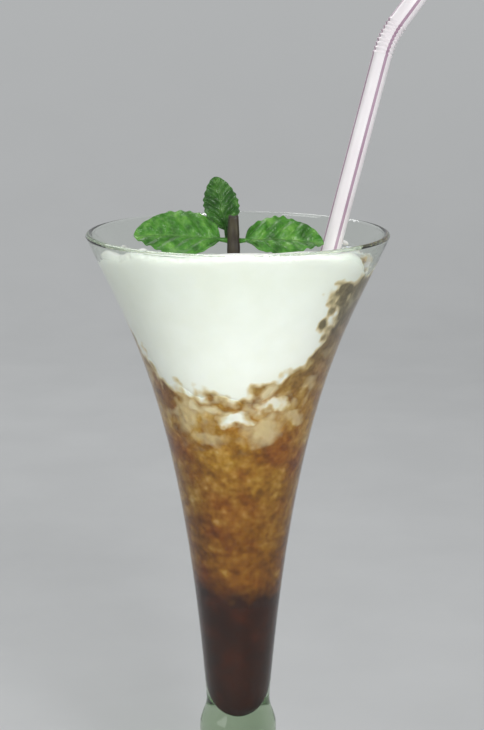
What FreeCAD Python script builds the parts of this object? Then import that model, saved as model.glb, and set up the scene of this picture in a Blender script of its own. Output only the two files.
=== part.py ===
"""Coffee granita in a trumpet glass: dark coffee, amber coffee ice, poured cream, a sprig
of mint and a bendable drinking straw. Millimetres, +Z up, origin at the middle of the
foot's underside. +X is to the drinker's right and -Y is towards the drinker."""

import FreeCAD, Part
import Sketcher
import math
import os

from FreeCAD import Placement, Rotation, Vector

SIZES = {
    # the glass, from the table up
    "foot_radius": 32.0,
    "foot_edge": 3.0,           # thickness of the foot at its rounded edge
    "foot_reach": 15.0,         # how long the foot's slope clings to the stem
    "waist_radius": 8.6,
    "waist_height": 21.0,
    "knop_radius": 11.6,        # the swelling between waist and bowl
    "knop_height": 38.0,
    "neck_radius": 9.6,
    "neck_height": 49.0,
    "bowl_height": 141.0,       # neck to rim
    "rim_radius": 43.8,
    "neck_taper": 4.5,          # degrees off the vertical just above the neck
    "rim_flare": 23.5,          # degrees off the vertical just under the rim
    "slim_sweep": 95.0,         # reach of the slim part's curve
    "flare_sweep": 25.0,        # reach of the flared part's curve
    "rim_wall": 1.8,
    "shoulder_radius": 6.1,     # cavity, where its rounded bottom begins
    "shoulder_rise": 5.0,       # above the neck
    "cavity_dome": 12.0,        # depth of the rounded bottom
    "cavity_taper": 6.0,        # degrees off the vertical just above the shoulder
    "film": 0.1,                # clearance of whatever lies against something else
    # the layers, as depths under the rim
    "coffee_depth": 111.0,      # top of the dark coffee
    "coffee_tilt": 8.0,         # degrees, high on the left
    "pocket_depth": 56.0,       # lowest point of the pocket of cream in the ice
    "pocket_x": -0.8,
    "pocket_y": -5.5,
    "pocket_curve": 0.036,      # rise per square millimetre away from that point
    "ice_depth": 16.5,          # where the ice tops out in the middle of the far wall
    "ice_tilt": 12.5,           # degrees, high on the right
    "ice_lumps": 1.0,
    "cream_depth": 1.2,         # cream under the rim, at the near wall
    "cream_slope": 9.4,         # degrees down towards the far wall
    "cream_folds": 0.6,
    "cream_shore": 33.0,        # how far to the right the cream reaches
    "cream_drop": 16.0,         # and how steeply it ends there
    # the straw
    "straw_radius": 2.9,
    "straw_wall": 0.35,
    "straw_heading": 21.9,      # degrees from the right towards the back, as it leans
    "straw_stand": 15.0,        # its lower end, above the neck
    "straw_gap": 1.8,           # to the side of the cavity that it leans towards
    "straw_rise": 49.0,         # start of the pleats, above the rim
    "pleat_pitch": 1.2,
    "pleat_depth": 0.5,
    "straw_bend": 24.0,         # degrees
    "straw_arm": 36.0,          # plain arm past the pleats
    # the mint
    "leaf_thickness": 0.7,
    "leaf_tooth": 0.7,
    "stalk_side": 4.0,
    "stalk_length": 24.0,
    "stalk_taper": 1.2,         # degrees
    "stalk_x": -1.2,
    "stalk_y": -9.0,
    "stalk_rise": 12.7,         # top of the stalk, above the cream round it
}
PLEATS = 9
TEETH = 9                       # along each margin of a leaf

# Each leaf: the length of its own little stem, its blade's length and breadth, the fold
# along its midrib and the droop of its tip; then a turn about +Z, a pitch upwards, a roll
# about its own length, and how far under the stalk's top it springs from it.
LEAVES = {
    "mint_leaf_left": (3.0, 23.0, 16.5, 0.25, 3.0, 180.0, 7.0, -42.0, 7.5),
    "mint_leaf_right": (0.9, 22.2, 15.0, 0.30, 3.5, -2.0, 4.0, 36.0, 7.5),
    "mint_leaf_upright": (2.2, 15.8, 10.2, 0.20, 1.5, 126.0, 71.0, -28.0, 15.4),
}


def make_sheet(doc):
    """The driving dimensions, each in a cell with an alias."""
    sheet = doc.addObject("Spreadsheet::Sheet", "sizes")
    for row, (name, value) in enumerate(SIZES.items(), start=1):
        sheet.set(f"A{row}", name)
        sheet.set(f"B{row}", str(value))
        sheet.setAlias(f"B{row}", name)
    doc.recompute()
    return sheet


def bind(thing, **expressions):
    """Ties properties of an object to expressions over the sheet."""
    for name, expression in expressions.items():
        thing.setExpression(name.replace("__", "."), expression)


class Profile:
    """A closed outline in a body's XZ sketch, each point held at a radius and a height."""

    def __init__(self, body, name):
        self.sketch = body.newObject("Sketcher::SketchObject", name)
        plane = next(f for f in body.Origin.OriginFeatures if f.Role == "XZ_Plane")
        self.sketch.AttachmentSupport = [(plane, "")]
        self.sketch.MapMode = "FlatFace"
        self.ends = []

    def value(self, expression):
        return float(self.sketch.evalExpression(expression))

    def start(self, radius, height):
        self.here = Vector(self.value(radius), self.value(height), 0)

    def hold(self, curve, end, radius, height):
        """Pins a point of a curve by two dimensions, or to the axis."""
        sketch_origin, height_axis, radius_axis = (-1, 1), -2, -1
        for kind, axis, expression in (("DistanceX", height_axis, radius),
                                       ("DistanceY", radius_axis, height)):
            if expression is None:
                continue
            if expression == "0":
                self.sketch.addConstraint(Sketcher.Constraint("PointOnObject", curve, end, axis))
                continue
            made = self.sketch.addConstraint(
                Sketcher.Constraint(kind, *sketch_origin, curve, end, self.value(expression)))
            self.sketch.setExpression(f"Constraints[{made}]", expression)

    def join(self, curve):
        if self.ends:
            self.sketch.addConstraint(Sketcher.Constraint("Coincident", self.ends[-1], 2, curve, 1))
        self.ends.append(curve)

    def line_to(self, radius, height):
        target = Vector(self.value(radius), self.value(height), 0)
        made = self.sketch.addGeometry(Part.LineSegment(self.here, target), False)
        self.join(made)
        self.hold(made, 2, radius, height)
        self.here = target

    def curve_to(self, *poles):
        """A cubic whose two handles and far end are given."""
        places = [Vector(self.value(r), self.value(z), 0) for r, z in poles]
        spline = Part.BSplineCurve([self.here] + places, None, None, False, 3, None, False)
        made = self.sketch.addGeometry(spline, False)
        self.sketch.exposeInternalGeometry(made)
        self.join(made)
        for number, (radius, height) in enumerate(poles, start=2):
            self.hold(made + number, 3, radius, height)
        self.here = places[-1]

    def arc_to(self, centre, radius, height):
        """An anticlockwise half circle. Its middle is free to slide only off the chord."""
        middle = Vector(*(self.value(c) for c in centre), 0)
        target = Vector(self.value(radius), self.value(height), 0)
        angles = [math.atan2(p.y - middle.y, p.x - middle.x) for p in (self.here, target)]
        circle = Part.Circle(middle, Vector(0, 0, 1), middle.distanceToPoint(self.here))
        made = self.sketch.addGeometry(Part.ArcOfCircle(circle, *angles), False)
        self.join(made)
        self.hold(made, 2, radius, height)
        chord = target - self.here
        level = abs(chord.x) > abs(chord.y)
        self.hold(made, 3, None if level else centre[0], centre[1] if level else None)
        self.here = target

    def close(self):
        self.sketch.addConstraint(
            Sketcher.Constraint("Coincident", self.ends[-1], 2, self.ends[0], 1))

    def revolve(self, body, name):
        turned = body.newObject("PartDesign::Revolution", name)
        turned.Profile = self.sketch
        turned.ReferenceAxis = (self.sketch, ["V_Axis"])
        turned.Angle = 360
        return turned


RIM = "(sizes.neck_height + sizes.bowl_height)"
LIP = f"({RIM} - sizes.rim_wall / 2)"             # where the wall begins to round over
CREAM_AT_STALK = (f"({RIM} - sizes.cream_depth - tan(sizes.cream_slope)"
                  " * (sizes.stalk_y + sizes.rim_radius - sizes.rim_wall))")
SHOULDER = "(sizes.neck_height + sizes.shoulder_rise)"


def cavity_wall(profile, gap):
    """The inside of the bowl, from the lip down to its lowest point."""
    handle = "sizes.cavity_dome * 0.55"
    profile.curve_to(
        (f"sizes.rim_radius - sizes.rim_wall - {gap} - sizes.flare_sweep * tan(sizes.rim_flare)",
         f"{LIP} - sizes.flare_sweep"),
        (f"sizes.shoulder_radius - {gap} + sizes.slim_sweep * 0.86 * tan(sizes.cavity_taper)",
         f"{SHOULDER} + sizes.slim_sweep * 0.86"),
        (f"sizes.shoulder_radius - {gap}", SHOULDER))
    profile.curve_to(
        (f"sizes.shoulder_radius - {gap} - {handle} * tan(sizes.cavity_taper)",
         f"{SHOULDER} - {handle}"),
        (f"(sizes.shoulder_radius - {gap}) * 0.6", f"{SHOULDER} - sizes.cavity_dome + {gap}"),
        ("0", f"{SHOULDER} - sizes.cavity_dome + {gap}"))


def make_glass(doc):
    """One blown and pressed piece: foot, knop and trumpet bowl, revolved."""
    body = doc.addObject("PartDesign::Body", "glass")
    outline = Profile(body, "glass_outline")
    edge_middle = "sizes.foot_radius - sizes.foot_edge / 2"
    outline.start("0", "0")
    outline.line_to(edge_middle, "0")
    outline.arc_to((edge_middle, "sizes.foot_edge / 2"), edge_middle, "sizes.foot_edge")
    outline.curve_to(("sizes.waist_radius + 5", "sizes.foot_edge + 1.2"),
                     ("sizes.waist_radius", "sizes.waist_height - sizes.foot_reach"),
                     ("sizes.waist_radius", "sizes.waist_height"))
    outline.curve_to(
        ("sizes.waist_radius", "sizes.waist_height * 0.55 + sizes.knop_height * 0.45"),
        ("sizes.knop_radius", "sizes.waist_height * 0.5 + sizes.knop_height * 0.5"),
        ("sizes.knop_radius", "sizes.knop_height"))
    tuck = "(sizes.neck_height - sizes.knop_height) * 0.5"
    outline.curve_to(
        ("sizes.knop_radius", f"sizes.knop_height + {tuck}"),
        (f"sizes.neck_radius - {tuck} * tan(sizes.neck_taper)", f"sizes.neck_height - {tuck}"),
        ("sizes.neck_radius", "sizes.neck_height"))
    outline.curve_to(
        ("sizes.neck_radius + sizes.slim_sweep * tan(sizes.neck_taper)",
         "sizes.neck_height + sizes.slim_sweep"),
        ("sizes.rim_radius - sizes.flare_sweep * tan(sizes.rim_flare)",
         f"{LIP} - sizes.flare_sweep"),
        ("sizes.rim_radius", LIP))
    outline.arc_to(("sizes.rim_radius - sizes.rim_wall / 2", LIP),
                   "sizes.rim_radius - sizes.rim_wall", LIP)
    cavity_wall(outline, "0")
    outline.line_to("0", "0")
    outline.close()
    outline.revolve(body, "glass_turned")
    return body


def make_filling(doc):
    """All that the cavity can hold, up to where the lip rounds over."""
    body = doc.addObject("PartDesign::Body", "filling")
    outline = Profile(body, "filling_outline")
    outline.start("0", LIP)
    outline.line_to("sizes.rim_radius - sizes.rim_wall - sizes.film", LIP)
    cavity_wall(outline, "sizes.film")
    outline.line_to("0", LIP)
    outline.close()
    outline.revolve(body, "filling_turned")
    return body


def lumps(x, y, size, step):
    """Soft unevenness: three sets of waves that cross at odd angles."""
    waves = ((1.0, 0.35, 0.0), (-0.45, 1.1, 1.7), (0.9, -1.3, 4.1))
    return size * sum(math.sin((a * x + b * y) * math.tau / step + c) for a, b, c in waves) / 2


def ease(value):
    """0 below 0, 1 above 1, and smooth between."""
    value = min(max(value, 0.0), 1.0)
    return value * value * (3 - 2 * value)


def lower_of(first, second, blend):
    """The lower of two heights, rounded where they cross."""
    gap = max(blend - abs(first - second), 0.0) / blend
    return min(first, second) - gap * gap * blend / 4


def coffee_top(sheet, rim, x, y):
    tilt = math.tan(math.radians(sheet.coffee_tilt))
    return rim - sheet.coffee_depth - tilt * x + lumps(x, y, 0.6, 11)


def ice_top(sheet, rim, x, y):
    """The ice: a hollow in the middle, where the cream was poured, and a lumpy level."""
    away = (x - sheet.pocket_x) ** 2 + (y - sheet.pocket_y) ** 2
    hollow = rim - sheet.pocket_depth + sheet.pocket_curve * away
    level = rim - sheet.ice_depth + math.tan(math.radians(sheet.ice_tilt)) * x
    return lower_of(hollow, level, 6.0) + lumps(x, y, sheet.ice_lumps, 17)


def cream_top(sheet, rim, x, y):
    """The cream: full at the near wall, lower at the far one, with a shore on the right."""
    slope = math.tan(math.radians(sheet.cream_slope))
    near_wall = sheet.rim_radius - sheet.rim_wall
    shore = sheet.cream_drop * ease((x - sheet.cream_shore) / 5)
    top = rim - sheet.cream_depth - slope * (y + near_wall) - shore
    return top + lumps(x, y, sheet.cream_folds, 23)


def make_below(doc, name, surface, sheet, reach, depth, cells):
    """A block whose top is the surface of a layer, for parting the filling."""
    rim = sheet.neck_height + sheet.bowl_height
    steps = [reach * (2 * i / cells - 1) for i in range(cells + 1)]
    grid = [[Vector(x, y, surface(sheet, rim, x, y)) for y in steps] for x in steps]
    skin = Part.BSplineSurface()
    skin.interpolate(grid)
    block = doc.addObject("Part::Feature", name)
    block.Shape = skin.toShape().extrude(Vector(0, 0, -depth))
    return block


def boolean(doc, kind, name, base, tool):
    made = doc.addObject(f"Part::{kind}", name)
    made.Base = base
    made.Tool = tool
    return made


def make_circle(doc, name, radius, **places):
    circle = doc.addObject("Part::Circle", name)
    bind(circle, Radius=radius, **places)
    return circle


def make_tube_form(doc, name, inset):
    """The straw's skin as a ruled loft, standing along +Z and bending towards +X."""
    radius = f"sizes.straw_radius - {inset}"
    circles = [make_circle(doc, f"{name}_end", radius)]
    for station in range(2 * PLEATS + 1):
        turn = f"sizes.straw_bend * {station} / {2 * PLEATS}"
        bow = f"(sizes.pleat_pitch * {PLEATS} / (sizes.straw_bend * pi / 180))"
        side = 0 if station in (0, 2 * PLEATS) else 0.5 if station % 2 else -0.5
        circle = make_circle(
            doc, f"{name}_pleat_{station}", f"{radius} + sizes.pleat_depth * {side}",
            Placement__Base__x=f"{bow} * (1 - cos({turn}))",
            Placement__Base__z=f"straw_axis.Height / 1mm + {bow} * sin({turn})")
        circles.append(circle)
        if station:
            circle.Placement.Rotation = Rotation(Vector(0, 1, 0), 1)
            bind(circle, Placement__Rotation__Angle=turn)
    arm = make_circle(
        doc, f"{name}_arm", radius,
        Placement__Base__x=f"{bow} * (1 - cos({turn})) + sizes.straw_arm * sin({turn})",
        Placement__Base__z=f"straw_axis.Height / 1mm + {bow} * sin({turn})"
                           f" + sizes.straw_arm * cos({turn})")
    arm.Placement.Rotation = Rotation(Vector(0, 1, 0), 1)
    bind(arm, Placement__Rotation__Angle=turn)
    loft = doc.addObject("Part::Loft", name)
    loft.Sections = circles + [arm]
    loft.Solid = True
    loft.Ruled = True
    return loft


def straw_line(sheet, filling):
    """Foot and lean of a straw that stands against one side of the cavity and leans to
    the other, which it clears by straw_gap where it comes nearest."""
    rim = sheet.neck_height + sheet.bowl_height
    foot_height = sheet.neck_height + sheet.straw_stand
    walls = []
    height = foot_height
    while height < rim - sheet.rim_wall:
        section = filling.Shape.slice(Vector(0, 0, 1), height)[0]
        walls.append((height - foot_height, section.BoundBox.XMax))
        height += 4
    least, most = 0.0, 45.0
    for _ in range(30):
        lean = (least + most) / 2
        half = sheet.straw_radius / math.cos(math.radians(lean))
        back = walls[0][1] - half
        slope = math.tan(math.radians(lean))
        nearest = min(wall + back - up * slope - half for up, wall in walls)
        if nearest > sheet.straw_gap:
            least = lean
        else:
            most = lean
    heading = math.radians(sheet.straw_heading)
    foot = Vector(-back * math.cos(heading), -back * math.sin(heading), foot_height)
    print(f"straw stands at {foot.x:.2f}, {foot.y:.2f} and leans {lean:.2f} degrees")
    return foot, lean


def make_straw(doc, sheet, filling):
    """A bendable straw: plain tube, pleats and a short arm. Returns it and its hole."""
    foot, lean = straw_line(sheet, filling)
    turn = Rotation(Vector(0, 0, 1), sheet.straw_heading)
    placed = Placement(foot, turn * Rotation(Vector(0, 1, 0), lean))

    hole = doc.addObject("Part::Cylinder", "straw_axis")
    bind(hole, Radius="sizes.straw_radius + sizes.film",
         Height=f"(sizes.bowl_height - sizes.straw_stand + sizes.straw_rise) / cos({lean})")
    doc.recompute()
    straw = boolean(doc, "Cut", "straw", make_tube_form(doc, "straw_skin", "0"),
                    make_tube_form(doc, "straw_bore", "sizes.straw_wall"))
    straw.Placement = placed
    hole.Placement = placed
    return straw, hole


def leaf_outline(stem, blade, breadth, tooth):
    """A pointed oval with forward teeth, on a little stem that starts at the origin."""
    stem_breadth = 1.4
    margin = [(0, stem_breadth / 2)]
    for step in range(2 * TEETH):
        along = step / (2 * TEETH)
        oval = math.sin(math.pi * along ** 0.85) ** 0.6
        out = (breadth + (tooth if step % 2 else -tooth)) / 2 * oval
        ahead = tooth * 0.6 * oval if step % 2 else 0
        margin.append((stem + blade * along + ahead, max(out, stem_breadth / 2)))
    tip = [(stem + blade, 0)]
    return margin + tip + [(x, -y) for x, y in reversed(margin)]


def make_leaf(doc, sheet, stalk, name):
    """One leaf: a curved sheet, trimmed by its toothed outline."""
    stem, blade, breadth, fold, droop, heading, pitch, roll, under = LEAVES[name]
    rows, columns = 14, 10
    grid = []
    for i in range(rows + 1):
        along = -0.1 + 1.2 * i / rows
        grid.append([])
        for j in range(columns + 1):
            across = breadth * 0.7 * (2 * j / columns - 1)
            rise = fold * (math.hypot(across, 1.5) - 1.5) - droop * along * abs(along)
            wave = 0.5 * math.sin(along * 17) * across / breadth
            grid[-1].append(Vector((stem + blade) * along, across, rise + wave))
    skin = Part.BSplineSurface()
    skin.interpolate(grid)
    sheet_form = doc.addObject("Part::Feature", f"{name}_sheet")
    sheet_form.Shape = skin.toShape().extrude(Vector(0, 0, sheet.leaf_thickness))

    points = [Vector(x, y, -40)
              for x, y in leaf_outline(stem, blade, breadth, sheet.leaf_tooth)]
    outline = Part.Face(Part.makePolygon(points + points[:1]))
    cutter = doc.addObject("Part::Feature", f"{name}_outline")
    cutter.Shape = outline.extrude(Vector(0, 0, 80))
    leaf = boolean(doc, "Common", name, sheet_form, cutter)

    turn = (Rotation(Vector(0, 0, 1), heading) * Rotation(Vector(0, 1, 0), -pitch)
            * Rotation(Vector(1, 0, 0), roll))
    joint = stalk.Placement.Base + Vector(0, 0, sheet.stalk_length - under)
    ahead = turn.multVec(Vector(1, 0, 0))
    out_of_stalk = (sheet.stalk_side / 2 + 4 * sheet.film) / max(abs(ahead.x), abs(ahead.y))
    leaf.Placement = Placement(joint + ahead * out_of_stalk, turn)
    return leaf


def make_stalk(doc):
    """The square stalk, thicker at its cut end, with rounded corners."""
    body = doc.addObject("PartDesign::Body", "mint_stalk")
    sketch = body.newObject("Sketcher::SketchObject", "stalk_section")
    plane = next(f for f in body.Origin.OriginFeatures if f.Role == "XY_Plane")
    sketch.AttachmentSupport = [(plane, "")]
    sketch.MapMode = "FlatFace"
    corners = [Vector(x, y, 0) for x, y in ((-1, -1), (1, -1), (1, 1), (-1, 1))]
    for i in range(4):
        sketch.addGeometry(Part.LineSegment(corners[i], corners[(i + 1) % 4]), False)
    for i in range(4):
        sketch.addConstraint(Sketcher.Constraint("Coincident", i, 2, (i + 1) % 4, 1))
        sketch.addConstraint(Sketcher.Constraint("Vertical" if i % 2 else "Horizontal", i))
    sketch.addConstraint(Sketcher.Constraint("Symmetric", 0, 1, 1, 2, -1, 1))
    for kind, line in (("DistanceX", 0), ("DistanceY", 1)):
        made = sketch.addConstraint(Sketcher.Constraint(kind, line, 1, line, 2, 2.0))
        sketch.setExpression(f"Constraints[{made}]", "sizes.stalk_side")
    pad = body.newObject("PartDesign::Pad", "stalk_pad")
    pad.Profile = sketch
    bind(pad, Length="sizes.stalk_length", TaperAngle="-sizes.stalk_taper")
    bind(body, Placement__Base__x="sizes.stalk_x", Placement__Base__y="sizes.stalk_y",
         Placement__Base__z=f"{CREAM_AT_STALK} + sizes.stalk_rise - sizes.stalk_length")
    return body


def check(doc, nodes):
    """Stops if anything failed to build."""
    for thing in doc.Objects:
        if "Invalid" in thing.State or "Error" in thing.State:
            raise RuntimeError(f"{thing.Label} did not build: {thing.State}")
    for node in nodes:
        shape = node.Shape
        if shape.isNull() or not shape.isValid() or not shape.Solids:
            raise RuntimeError(f"{node.Label} is not a sound solid")
        print(f"{node.Label}: {len(shape.Solids)} solid, {shape.Volume / 1000:.2f} ml")


def main():
    doc = FreeCAD.newDocument("coffee_granita")
    sheet = make_sheet(doc)
    glass = make_glass(doc)
    filling = make_filling(doc)
    stalk = make_stalk(doc)
    doc.recompute()
    straw, hole = make_straw(doc, sheet, filling)
    leaves = [make_leaf(doc, sheet, stalk, name) for name in LEAVES]
    doc.recompute()

    below_coffee = make_below(doc, "below_coffee", coffee_top, sheet, 20, 60, 10)
    below_ice = make_below(doc, "below_ice", ice_top, sheet, 46, 170, 24)
    below_cream = make_below(doc, "below_cream", cream_top, sheet, 46, 170, 24)
    coffee = boolean(doc, "Common", "coffee_layer", filling, below_coffee)
    ice = boolean(doc, "Common", "ice_layer", filling, below_ice)
    ice = boolean(doc, "Cut", "ice_above_coffee", ice, below_coffee)
    cream = boolean(doc, "Common", "cream_layer", filling, below_cream)
    cream = boolean(doc, "Cut", "cream_above_ice", cream, below_ice)
    cream = boolean(doc, "Cut", "cream_round_stalk", cream, stalk)
    dark_coffee = boolean(doc, "Cut", "dark_coffee", coffee, hole)
    granita = boolean(doc, "Cut", "granita", ice, hole)
    cream = boolean(doc, "Cut", "cream", cream, hole)
    doc.recompute()

    nodes = [glass, dark_coffee, granita, cream, straw, stalk] + leaves
    check(doc, nodes)
    os.makedirs("parts", exist_ok=True)
    for node in nodes:
        node.Shape.exportStep(f"parts/{node.Label}.step")


main()
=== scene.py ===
# %% [markdown]
# # Coffee granita in a trumpet glass
# From the foot up the drink is a clear glass, dark coffee at its bottom, amber coffee
# ice, a pocket of poured cream, a mint sprig and a bendable straw. Glass, coffee, ice and
# cream start from their solids in the measured frame. The straw, the mint and the loose
# grains are modelled afresh, and placed from the height of the glass's rim.

# %% Load the measured frame
import bmesh
import bpy
import math
import random
from mathutils import Matrix, Vector


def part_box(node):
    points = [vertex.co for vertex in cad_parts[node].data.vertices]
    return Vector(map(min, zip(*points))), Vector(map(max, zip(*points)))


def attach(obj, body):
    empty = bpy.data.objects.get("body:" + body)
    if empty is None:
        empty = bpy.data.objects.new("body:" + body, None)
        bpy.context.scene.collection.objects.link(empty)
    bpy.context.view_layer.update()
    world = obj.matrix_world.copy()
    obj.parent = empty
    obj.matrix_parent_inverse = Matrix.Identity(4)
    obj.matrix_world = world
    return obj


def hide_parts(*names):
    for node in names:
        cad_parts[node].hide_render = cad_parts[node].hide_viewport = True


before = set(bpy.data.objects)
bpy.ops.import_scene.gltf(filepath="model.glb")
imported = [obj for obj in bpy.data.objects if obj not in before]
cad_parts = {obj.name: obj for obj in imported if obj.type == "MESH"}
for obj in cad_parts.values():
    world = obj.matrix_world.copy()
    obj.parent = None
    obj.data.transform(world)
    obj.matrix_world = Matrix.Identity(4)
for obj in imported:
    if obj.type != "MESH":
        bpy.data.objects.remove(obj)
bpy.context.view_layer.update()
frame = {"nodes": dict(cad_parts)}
MM = 0.001
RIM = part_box("glass")[1].z
print("rim at", round(RIM / MM, 1), "mm; nodes:", ", ".join(frame["nodes"]))

# %% [markdown]
# ## Small helpers
# Blender's operators act on whatever is selected, so each step first clears the
# selection and then picks its own piece. `modify` adds one modifier and applies it at
# once, the way one would press Apply before going on.


# %% Helpers for selecting and modifying
def pick(piece):
    """Makes one piece the selected and active object."""
    if bpy.context.mode != "OBJECT":
        bpy.ops.object.mode_set(mode="OBJECT")
    bpy.ops.object.select_all(action="DESELECT")
    piece.select_set(True)
    bpy.context.view_layer.objects.active = piece


def edit(piece, choose=None):
    """Opens a piece in edit mode with the vertices selected for which choose is true."""
    pick(piece)
    bpy.ops.object.mode_set(mode="EDIT")
    bpy.ops.mesh.select_mode(type="VERT")
    bpy.ops.mesh.select_all(action="SELECT")
    if choose:
        reselect(piece, choose)


def reselect(piece, choose):
    """Within edit mode, selects the vertices for which choose is true."""
    mesh = bmesh.from_edit_mesh(piece.data)
    for vertex in mesh.verts:
        vertex.select_set(bool(choose(vertex)))
    mesh.select_flush_mode()
    bmesh.update_edit_mesh(piece.data)


def done():
    """Leaves edit mode."""
    bpy.ops.object.mode_set(mode="OBJECT")


def modify(piece, kind, **settings):
    """Adds a modifier and applies it."""
    pick(piece)
    modifier = piece.modifiers.new(kind.lower(), kind)
    for name, value in settings.items():
        setattr(modifier, name, value)
    bpy.ops.object.modifier_apply(modifier=modifier.name)


print("helpers are ready for", len(frame["nodes"]), "measured solids")

# %% [markdown]
# ## Helpers for materials
# Colours are written as they look on screen, in hex, and turned to the linear values
# that the shader wants. `add` places one node, sets it, wires it and hands on its output,
# so a pattern reads as a chain of steps. `per` turns a size into a pattern's scale.


# %% Helpers for materials
def linear(colour):
    """An sRGB hex colour as linear RGBA."""
    light = []
    for start in (1, 3, 5):
        part = int(colour[start:start + 2], 16) / 255
        light.append(part / 12.92 if part <= 0.04045 else ((part + 0.055) / 1.055) ** 2.4)
    return (*light, 1)


def new_material(name):
    """A material without nodes."""
    material = bpy.data.materials.new(name)
    material.use_nodes = True
    material.node_tree.nodes.clear()
    return material


def add(tree, kind, inputs=(), give=0, stops=(), **settings):
    """Adds one node with its settings and links, and gives one of its outputs.

    inputs holds numbers, hex colours or the outputs of other nodes: in a list they fill
    the sockets in order, in a dictionary by name or number. stops are a ramp's colours.
    """
    node = tree.nodes.new("ShaderNode" + kind)
    for name, value in settings.items():
        setattr(node, name, value)
    for socket, value in inputs.items() if isinstance(inputs, dict) else enumerate(inputs):
        if isinstance(value, bpy.types.NodeSocket):
            tree.links.new(value, node.inputs[socket])
        elif isinstance(value, str):
            node.inputs[socket].default_value = linear(value)
        else:
            node.inputs[socket].default_value = value
    for number, (place, colour) in enumerate(stops):
        points = node.color_ramp.elements
        point = points[number] if number < 2 else points.new(place)
        point.position = place
        point.color = linear(colour)
    return node.outputs[give] if node.outputs else None


def per(size):
    """The scale of a pattern that repeats every size millimetres."""
    return 1 / (size * MM)


def dress(piece, material, slot, *nodes):
    """Gives a piece its material, hangs it from the root and hides the measured nodes it stands
    for.
    """
    piece.data.materials.clear()
    piece.data.materials.append(material)
    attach(piece, "root")
    if nodes:
        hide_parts(*nodes)
    print(piece.name, "has", len(piece.data.polygons), "faces")


print("middle grey #808080 is", round(linear("#808080")[0], 3), "in linear light")

# %% [markdown]
# ## The glass
# Soda-lime glass, its foot pressed and its bowl blown in a mould, then fire polished:
# smooth, and faintly green where it is thick. The measured solid is already a true
# turned form, so it keeps its mesh and only gets its glass. Lamps are let straight
# through, because light that is bent by glass would take very long to gather on the
# cream behind it.

# %% Soda-lime glass
soda_lime = new_material("soda_lime_glass")
tree = soda_lime.node_tree
place = add(tree, "TexCoord", give="Object")
waves = add(tree, "TexNoise", {"Vector": place, "Scale": per(14.0), "Detail": 1.0})
fire_polish = add(tree, "Bump", {"Height": waves, "Strength": 0.08, "Distance": 0.4 * MM})
body = add(tree, "BsdfPrincipled", {
    "Base Color": "#FDFEFD", "Transmission Weight": 1.0, "IOR": 1.5, "Roughness": 0.0,
    "Normal": fire_polish})
clear = add(tree, "BsdfTransparent", {"Color": "#F8FBF8"})
shadow = add(tree, "LightPath", give="Is Shadow Ray")
# Iron in the sand makes thick glass green; thin walls hardly show it.
iron = add(tree, "VolumeAbsorption", {"Color": "#BAD0AC", "Density": 76.0})
add(tree, "OutputMaterial", {
    "Surface": add(tree, "MixShader", [shadow, body, clear]), "Volume": iron})
glass = frame["nodes"]["glass"]
glass.data.materials.clear()
glass.data.materials.append(soda_lime)
print("glass keeps its measured form,", len(glass.data.polygons), "faces")

# %% [markdown]
# ## Where cream meets ice
# The cream was poured into the middle of the ice, so its lower limit is a bowl shape.
# Both materials read the same rule for that limit. Noise of a few millimetres pushes the
# places about before the rule is read, so the limit gets lumps like those that slush
# makes, and tongues of cream run on down the wall.

# %% The rule for the limit between cream and ice
# The lowest point of the cream, how fast its limit curves up from there, and the height
# and slope of the ice that stands clear of the cream on one side.
POCKET = Vector((-1.6 * MM, -5.5 * MM, RIM - 56.0 * MM))
POCKET_CURVE = 0.036 / MM
ICE_LEVEL = RIM - 16.5 * MM
ICE_TILT = math.tan(math.radians(12.5))


def pushed_about(tree, place, reach, size):
    """The place, moved up to half of reach by noise, so what is drawn with it is lumpy."""
    push = add(tree, "TexNoise", {"Vector": place, "Scale": per(size), "Detail": 2.0}, "Color")
    middle = add(tree, "VectorMath", [push, (0.5, 0.5, 0.5)], operation="SUBTRACT")
    return add(tree, "VectorMath", [middle, (reach * MM,) * 3, place], operation="MULTIPLY_ADD")


def height_over_pocket(tree, place):
    """Height over the bowl-shaped limit, in metres."""
    flat = add(tree, "VectorMath", [place, POCKET], operation="SUBTRACT")
    level = add(tree, "VectorMath", [flat, (1, 1, 0)], operation="MULTIPLY")
    away = add(tree, "VectorMath", [level, level], "Value", operation="DOT_PRODUCT")
    bowl = add(tree, "Math", [away, POCKET_CURVE], operation="MULTIPLY")
    across = add(tree, "SeparateXYZ", [flat], "X")
    bank = add(tree, "Math", [across, ICE_TILT, ICE_LEVEL - POCKET.z], operation="MULTIPLY_ADD")
    limit = add(tree, "Math", [bowl, bank], operation="MINIMUM")
    height = add(tree, "SeparateXYZ", [flat], "Z")
    return add(tree, "Math", [height, limit], operation="SUBTRACT")


print("cream reaches", round((RIM - POCKET.z) / MM), "mm down from the rim, in a bowl of radius",
      round(0.5 / POCKET_CURVE / MM), "mm")

# %% Tongues of cream on the near side
# Middle and half sizes in millimetres, the middle counted down from the rim, and strength.
TONGUES = [((0, -22, 50.5), (5.0, 8, 2.2), 0.95), ((9, -20, 46.0), (5.5, 8, 2.4), 0.8),
           ((7, -20, 54), (5, 8, 4), 0.4), ((-14.5, -17, 49), (3, 8, 7), 0.36),
           ((-8, -18, 56), (5, 8, 2.5), 0.3), ((15, -16, 51), (4, 8, 2), 0.35)]


def tongue_share(tree, place):
    """How much cream the tongues bring to a place."""
    most = 0.0
    for (x, y, down), (wide, deep, tall), strength in TONGUES:
        middle = (x * MM, y * MM, RIM - down * MM)
        away = add(tree, "VectorMath", [place, middle], operation="SUBTRACT")
        away = add(tree, "VectorMath", [away, (per(wide), per(deep), per(tall))],
                   operation="MULTIPLY")
        length = add(tree, "VectorMath", [away], "Value", operation="LENGTH")
        share = add(tree, "MapRange", [length, 1.25, 0.55, 0.0, strength])
        most = add(tree, "Math", [most, share], operation="MAXIMUM")
    return most


print(len(TONGUES), "tongues, the longest", 2 * max(max(half) for _, half, _ in TONGUES), "mm")

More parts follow.
